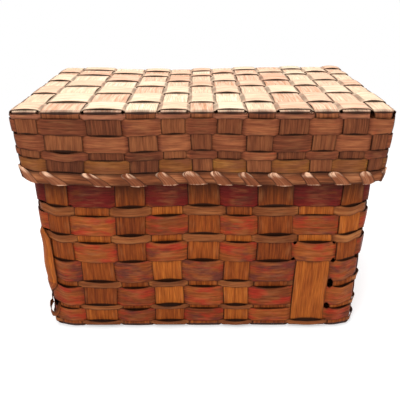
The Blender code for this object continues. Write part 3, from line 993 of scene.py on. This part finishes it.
def wood_finish(name, colours, swabs=(), dirt_and_shade=0.85, rub_and_highlight=0.10, rub_and_highlight_colour=RUB_AND_HIGHLIGHT_COLOUR, bleached=None,
                lid_shadow_level=1.0, crease_shadow=0.0, edge_dirt_and_shade_share=1.0):
    """A finish for splints, from its shades of wood and the colours swabbed over it, each with its amount.

    `lid_shadow_level` sets how dark the body's top is painted, as the shadow of the lid. `crease_shadow`
    paints a shadow at the ends of a float, deepening towards the middle of the strip, and
    `edge_dirt_and_shade_share` under 1 widens the grime and painted shade on its edges.
    """
    finish = bpy.data.materials.new(name)
    finish.use_nodes = True
    tree = finish.node_tree
    grain_place = add_node("UVMap", {}, tree, uv_map="grain")["UV"]
    place = add_node("TexCoord", {}, tree)["Object"]
    lift, edge, tone, outer, sun = (add_node("Attribute", {}, tree, attribute_name=kind)["Fac"]
                                    for kind in ("lift", "edge", "tone", "outer", "sun"))
    grain = group_node(grain_group, Grain=grain_place)
    # A painted shadow darkens the ends of a float towards the middle of the strip, less on the sheet.
    crease_shadow_depth = times(soft_step(edge, 0, CREASE_SHADOW_REACH, 0, crease_shadow), soft_step(sun, 0, 1, 1, SHEET_CREASE_SHADOW))
    lift_less_crease_shadow = maths("SUBTRACT", lift, crease_shadow_depth)
    # Dirt with painted shade, and rubbing with a painted highlight, from each strip's lift and edge.
    wear_and_light = group_node(dirt_and_light_group, Place=place, Grain=grain_place, Edge=times(edge, edge_dirt_and_shade_share),
                      Lift=times(lift_less_crease_shadow, soft_step(outer, 0, 1, -1, 1)))
    share = maths("ADD", times(tone, TONE_SHARE), times(grain["Streak"], 1 - TONE_SHARE))
    colour = shades(share, colours)
    if bleached:
        pale = times(soft_step(sun, SUN_START, 1), outer)
        colour = tint(pale, colour, shades(share, bleached))
    for index, (swab, amount) in enumerate(swabs):
        moved = {"Vector": grain_place, "Location": SWAB_SHIFT * index}
        mask = group_node(swab_group, Grain=add_node("Mapping", moved)["Vector"], Streak=grain["Streak"],
                          Outer=outer, Amount=amount)
        colour = tint(times(mask["Mask"], SWAB_STRENGTH), colour, (*swab, 1))
    # The body darkens towards its top: the painted shadow of the lid.
    height = add_node("SeparateXYZ", {"Vector": place})["Z"]
    lid_shadow = soft_step(height, *LID_SHADOW_HEIGHTS, 1, lid_shadow_level)
    colour = darkened(colour, times(soft_step(grain["Pore"], 0, 1, *PORE_SHADES), lid_shadow))
    # Inner faces are darkened: painted shade.
    colour = darkened(colour, soft_step(outer, 0, 1, INNER_PAINTED_SHADE, 1))
    # Raised middles are lightened by rubbing and a painted highlight.
    colour = tint(times(wear_and_light["Rub"], rub_and_highlight), colour, rub_and_highlight_colour)
    # Dirt and painted shade darken edges, crossings and the ends of floats.
    colour = tint(times(wear_and_light["Dirt"], dirt_and_shade), colour, DIRT_AND_SHADE_COLOUR)
    bump = add_node("Bump", {"Strength": BUMP_STRENGTH, "Distance": BUMP_DEPTH, "Height": grain["Height"]})
    shader = tree.nodes["Principled BSDF"].inputs
    tree.links.new(colour, shader["Base Color"])
    tree.links.new(soft_step(grain["Pore"], 0, 1, *ROUGHNESS), shader["Roughness"])
    tree.links.new(bump["Normal"], shader["Normal"])
    shader["Specular IOR Level"].default_value = WOOD_SHINE
    return finish


# %% [markdown]
# ## The finishes of this basket
# The body's uprights are orange tan. Its wide weavers are swabbed red, or wine and purple in the top row,
# and its narrow ones were left plain. Light has turned the lid's sides brown and its top nearly cream.

# %% Mix the finishes
RED, WINE, PURPLE = (0.36, 0.024, 0.009), (0.150, 0.006, 0.004), (0.098, 0.020, 0.015)
BROWN, DARK_WINE = (0.175, 0.050, 0.018), (0.082, 0.007, 0.005)
BODY_WOOD = ((0.105, 0.017, 0.0025), (0.26, 0.054, 0.0065), (0.48, 0.128, 0.016))
PLAIN_WOOD = ((0.115, 0.028, 0.007), (0.25, 0.070, 0.018), (0.43, 0.155, 0.045))
WEAVER_WOOD = ((0.105, 0.018, 0.004), (0.24, 0.052, 0.009), (0.41, 0.110, 0.020))
LID_WOOD = ((0.066, 0.016, 0.006), (0.165, 0.045, 0.016), (0.29, 0.094, 0.032))
LID_WEAVER_WOOD = ((0.080, 0.019, 0.007), (0.195, 0.050, 0.019), (0.36, 0.115, 0.042))
FADED_WOOD = ((0.15, 0.042, 0.019), (0.32, 0.110, 0.055), (0.52, 0.220, 0.125))
OCHRE_WOOD = ((0.120, 0.032, 0.008), (0.24, 0.078, 0.016), (0.36, 0.150, 0.028))
RIM_WOOD = ((0.085, 0.020, 0.007), (0.230, 0.066, 0.022), (0.48, 0.185, 0.075))
LASHING_WOOD = ((0.135, 0.034, 0.013), (0.24, 0.072, 0.028), (0.42, 0.165, 0.078))
PALE_WOOD = ((0.59, 0.27, 0.14), (0.82, 0.50, 0.34), (0.90, 0.65, 0.44), (0.96, 0.80, 0.62))
FINISHES = {name: wood_finish(name, wood, swabs, **amounts) for name, wood, swabs, amounts in (
    # Body finishes darken at the top, the lid's painted shadow; uprights get painted shadow at float ends.
    ("body_upright_wood", BODY_WOOD, (), {"lid_shadow_level": 0.45, "dirt_and_shade": 0.95, "crease_shadow": 0.62}),
    ("body_weaver_plain", PLAIN_WOOD, (), {"lid_shadow_level": 0.6}),
    ("body_weaver_red", WEAVER_WOOD, ((PURPLE, 0.42), (RED, 0.46)), {"lid_shadow_level": 0.6}),
    ("body_weaver_mixed", WEAVER_WOOD, ((PURPLE, 0.54), (RED, 0.40)), {"lid_shadow_level": 0.6}),
    ("body_weaver_wine", WEAVER_WOOD, ((DARK_WINE, 0.62), (WINE, 0.57)), {"lid_shadow_level": 0.7}),
    # The lid's uprights also get a painted shadow at the ends of their floats.
    ("lid_upright_wood", LID_WOOD, (), {"bleached": PALE_WOOD, "rub_and_highlight": 0.05, "dirt_and_shade": 0.95, "crease_shadow": 0.6}),
    ("lid_weaver_brown", LID_WEAVER_WOOD, ((PURPLE, 0.34), (RED, 0.27)), {}),
    ("lid_weaver_faded", FADED_WOOD, (), {"rub_and_highlight": 0.2}),
    ("lid_weaver_ochre", OCHRE_WOOD, ((PURPLE, 0.30), (BROWN, 0.50)), {}),
    # The hoops' edges carry a wider band of dirt and painted shade.
    ("rim_hoop_wood", RIM_WOOD, (), {"edge_dirt_and_shade_share": 0.3}),
    # The lashing's knuckles and folds are lightened strongly: a painted highlight.
    ("rim_lashing_wood", LASHING_WOOD, (), {"rub_and_highlight": 1.6, "rub_and_highlight_colour": (0.80, 0.47, 0.30, 1)}),
)}
# The rows that aren't plain on the body, or brown on the lid.
BODY_ROWS = {2: "red", 4: "red", 6: "mixed", 7: "red", 9: "red", 11: "wine", 12: "wine", 14: "wine"}
LID_ROWS = {1: "ochre", 5: "faded"}


def put_on(strip, finish):
    """Give a strip one of the finishes."""
    strip.data.materials.append(FINISHES[finish])


for prefix, rows, others in (("body", BODY_ROWS, "plain"), ("lid", LID_ROWS, "brown")):
    for number, strip in enumerate(weavers[prefix], 1):
        put_on(strip, f"{prefix}_weaver_{rows.get(number, others)}")
    for strip in uprights[prefix]:
        put_on(strip, f"{prefix}_upright_wood")
for hoop in hoops:
    put_on(hoop, "rim_hoop_wood")
for lashing in lashings:
    put_on(lashing, "rim_lashing_wood")
print(f"{len(FINISHES)} finishes")

# %% [markdown]
# ## Camera
# The photograph was taken from in front and a little above, so the lid's top shows as a shallow band.

# %% Camera
CAMERA_PLACE = (-0.0032, -0.6789, 0.429)
CAMERA_DIP = 0.4182
CAMERA_ROLL = -0.0029
CAMERA_LENS = 47.45
bpy.ops.object.camera_add(location=CAMERA_PLACE)
camera = bpy.context.object
turn = Matrix.Rotation(pi / 2 - CAMERA_DIP, 3, "X") @ Matrix.Rotation(CAMERA_ROLL, 3, "Z")
camera.rotation_euler = turn.to_euler()
camera.data.lens = CAMERA_LENS
camera.data.sensor_width = 36
bpy.context.scene.camera = camera

# %% [markdown]
# ## White floor and soft lamps
# The floor and the world look white to the camera and in reflections, through Light Path, while they
# light the basket only at a plain level. Near the basket the floor is a real surface that takes its
# shadow; further out it fades into the same white.

# %% Floor, world and lamps
FLOOR_GLOW = 0.42
NEAR_FLOOR, FAR_FLOOR = 0.35, 1.1
WORLD_LIGHT = 0.38


def seen_white(tree):
    """1 for rays that show the background: from the camera, a reflection or through glass."""
    path = add_node("LightPath", {}, tree)
    seen = maths("MAXIMUM", path["Is Camera Ray"], path["Is Glossy Ray"])
    return maths("MAXIMUM", seen, path["Is Transmission Ray"])


bpy.ops.mesh.primitive_plane_add(size=40)
floor = bpy.context.object
floor.name = "floor"
paper = bpy.data.materials.new("white_floor")
paper.use_nodes = True
tree = paper.node_tree
tree.nodes.remove(tree.nodes["Principled BSDF"])
matt = add_node("BsdfDiffuse", {"Color": (0.8, 0.8, 0.8, 1)}, tree)[0]
glow, white = (add_node("Emission", {"Strength": power}, tree)[0] for power in (FLOOR_GLOW, 1.0))
near = add_node("AddShader", {0: matt, 1: glow})[0]
place = add_node("TexCoord", {}, tree)["Object"]
distance = add_node("VectorMath", {0: place}, operation="LENGTH")["Value"]
far = soft_step(distance, NEAR_FLOOR, FAR_FLOOR)
backdrop = add_node("MixShader", {0: far, 1: near, 2: white})[0]
surface = add_node("MixShader", {0: seen_white(tree), 1: matt, 2: backdrop})[0]
tree.links.new(surface, tree.nodes["Material Output"].inputs["Surface"])
floor.data.materials.append(paper)

world = bpy.data.worlds.new("studio")
bpy.context.scene.world = world
world.use_nodes = True
sky = world.node_tree
background = sky.nodes["Background"].inputs
sky.links.new(soft_step(seen_white(sky), 0, 1, WORLD_LIGHT, 1.0), background["Strength"])
background["Color"].default_value = (1, 1, 1, 1)

LAMPS = (
    ("overhead", (0.0, 0.05, 1.55), 0.2, 1.2, 16),
    ("front_left", (-0.65, -1.35, 1.45), 0.15, 0.9, 18),
    ("front_right", (0.95, -1.25, 0.85), 0.15, 0.8, 6),
)
for name, where, aim, size, watts in LAMPS:
    facing = (Vector((0, 0, aim)) - Vector(where)).to_track_quat("-Z", "Y").to_euler()
    bpy.ops.object.light_add(type="AREA", location=where, rotation=facing)
    lamp = bpy.context.object
    lamp.name = name
    lamp.data.size = size
    lamp.data.energy = watts
bpy.context.scene.view_settings.view_transform = "Standard"
